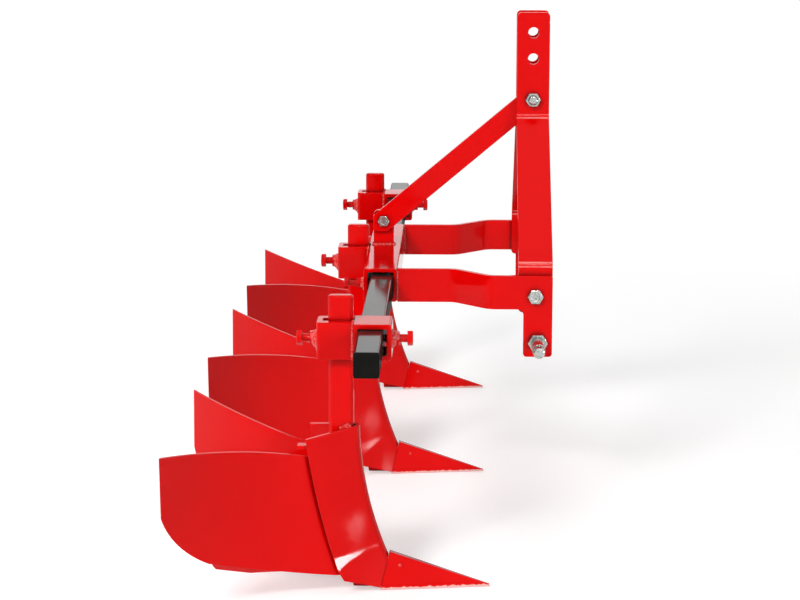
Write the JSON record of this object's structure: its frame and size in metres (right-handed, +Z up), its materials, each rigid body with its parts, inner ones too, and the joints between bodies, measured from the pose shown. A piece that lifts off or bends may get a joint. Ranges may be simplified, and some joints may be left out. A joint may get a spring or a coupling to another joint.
{
  "type": "three-row tractor ridger",
  "caption": "Mounted ridger: square toolbar with a three-point hitch frame, and ridging bodies with winged breasts and pointed shares on upright shanks.",
  "frame": {"origin": "middle of the machine's bounding box at floor level, under the toolbar; the shares stand on the floor", "axes": "+X is the travel direction, towards the tractor; +Y is the machine's left side, along the toolbar; +Z is up"},
  "size_m": [0.6184, 1.856, 0.88],
  "materials": {
    "red_paint": "gloss",
    "zinc": "satin",
    "dark_tube": "gloss",
    "black_plastic": "matte"
  },
  "bodies": {
    "frame": {"toolbar_tube": "dark_tube", "end_cap_right": "black_plastic", "end_cap_left": "black_plastic", "centre_sleeve": "red_paint", "sleeve_set_bolt_right": "red_paint", "sleeve_set_bolt_left": "red_paint", "brace_lug": "red_paint", "mast_brace": "red_paint", "mast_spacer": "red_paint", "mast_bolt": "zinc", "brace_bolt": "zinc", "lower_arm_right": "red_paint", "lower_arm_left": "red_paint", "mast_bar_right": "red_paint", "mast_bar_left": "red_paint", "foot_bolt_right": "zinc", "foot_bolt_left": "zinc", "lower_link_pin_right": "zinc", "lower_link_pin_left": "zinc", "middle_shank_holder": "red_paint", "middle_shank_set_bolt": "red_paint"},
    "clamp_right": {"right_clamp": "red_paint", "right_clamp_set_bolt": "red_paint", "right_shank_holder": "red_paint", "right_shank_set_bolt": "red_paint"},
    "clamp_left": {"left_clamp": "red_paint", "left_clamp_set_bolt": "red_paint", "left_shank_holder": "red_paint", "left_shank_set_bolt": "red_paint"},
    "ridger_right": {"right_shank": "red_paint", "right_breast": "red_paint", "right_share": "red_paint", "right_wing_right": "red_paint", "right_wing_left": "red_paint", "right_stay": "red_paint"},
    "ridger_middle": {"middle_shank": "red_paint", "middle_breast": "red_paint", "middle_share": "red_paint", "middle_wing_right": "red_paint", "middle_wing_left": "red_paint", "middle_stay": "red_paint"},
    "ridger_left": {"left_shank": "red_paint", "left_breast": "red_paint", "left_share": "red_paint", "left_wing_right": "red_paint", "left_wing_left": "red_paint", "left_stay": "red_paint"}
  },
  "joints": [
    {"name": "clamp_right_slide", "type": "slide", "parent": "frame", "child": "clamp_right", "axis": [0, 1, 0], "range_m": [-0.15, 0.22]},
    {"name": "clamp_left_slide", "type": "slide", "parent": "frame", "child": "clamp_left", "axis": [0, 1, 0], "range_m": [-0.22, 0.15]},
    {"name": "ridger_right_depth", "type": "slide", "parent": "clamp_right", "child": "ridger_right", "axis": [0, 0, 1], "range_m": [-0.04, 0.1]},
    {"name": "ridger_middle_depth", "type": "slide", "parent": "frame", "child": "ridger_middle", "axis": [0, 0, 1], "range_m": [-0.04, 0.1]},
    {"name": "ridger_left_depth", "type": "slide", "parent": "clamp_left", "child": "ridger_left", "axis": [0, 0, 1], "range_m": [-0.04, 0.1]}
  ]
}
